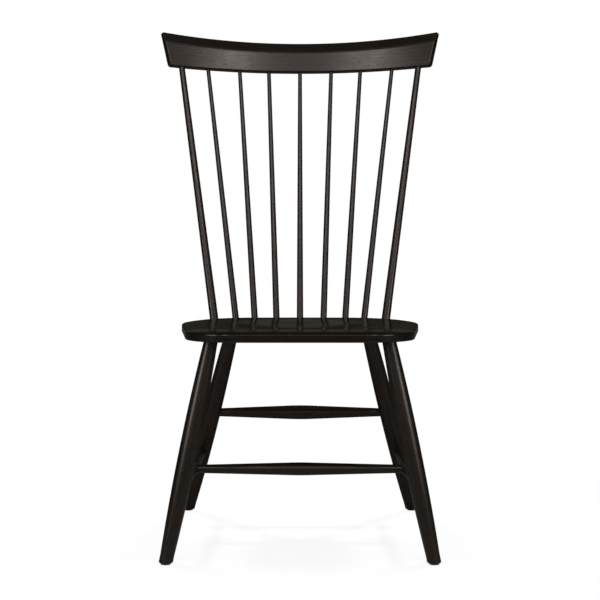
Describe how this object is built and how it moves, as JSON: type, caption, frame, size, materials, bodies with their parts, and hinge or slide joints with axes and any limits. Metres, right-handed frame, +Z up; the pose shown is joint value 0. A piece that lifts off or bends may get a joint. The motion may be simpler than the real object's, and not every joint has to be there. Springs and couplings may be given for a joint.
{
  "type": "side chair",
  "caption": "Fan-back wooden side chair: dished plank seat, splayed turned legs joined by stretchers, and tapered spindles rising to a bowed crest rail.",
  "frame": {"origin": "on the floor, midway between the left and right feet and midway between the seat's front edge and the back of the crest rail", "axes": "+Z up, the front of the seat faces -Y, and the chair's left side as seen from the front is -X"},
  "size_m": [0.5977, 0.5627, 1.0494],
  "materials": {
    "ebonised_wood": "satin lacquer over a near-black stain, fine straight grain",
    "peg_wood": "end grain under the same stain",
    "glide_nylon": "matt moulded nylon",
    "nail_steel": "plain bright steel"
  },
  "bodies": {
    "root": {"seat": "ebonised_wood", "crest_rail": "ebonised_wood", "post_left": "ebonised_wood", "post_right": "ebonised_wood", "spindle_1": "ebonised_wood", "spindle_2": "ebonised_wood", "spindle_3": "ebonised_wood", "spindle_4": "ebonised_wood", "spindle_5": "ebonised_wood", "spindle_6": "ebonised_wood", "spindle_7": "ebonised_wood", "leg_front_left": "ebonised_wood", "leg_front_right": "ebonised_wood", "leg_rear_left": "ebonised_wood", "leg_rear_right": "ebonised_wood", "side_stretcher_left": "ebonised_wood", "side_stretcher_right": "ebonised_wood", "cross_stretcher": "ebonised_wood", "rear_stretcher": "ebonised_wood", "crest_pegs": "peg_wood", "glide_front_left": "glide_nylon", "glide_front_right": "glide_nylon", "glide_rear_left": "glide_nylon", "glide_rear_right": "glide_nylon", "glide_nails": "nail_steel"}
  },
  "joints": []
}
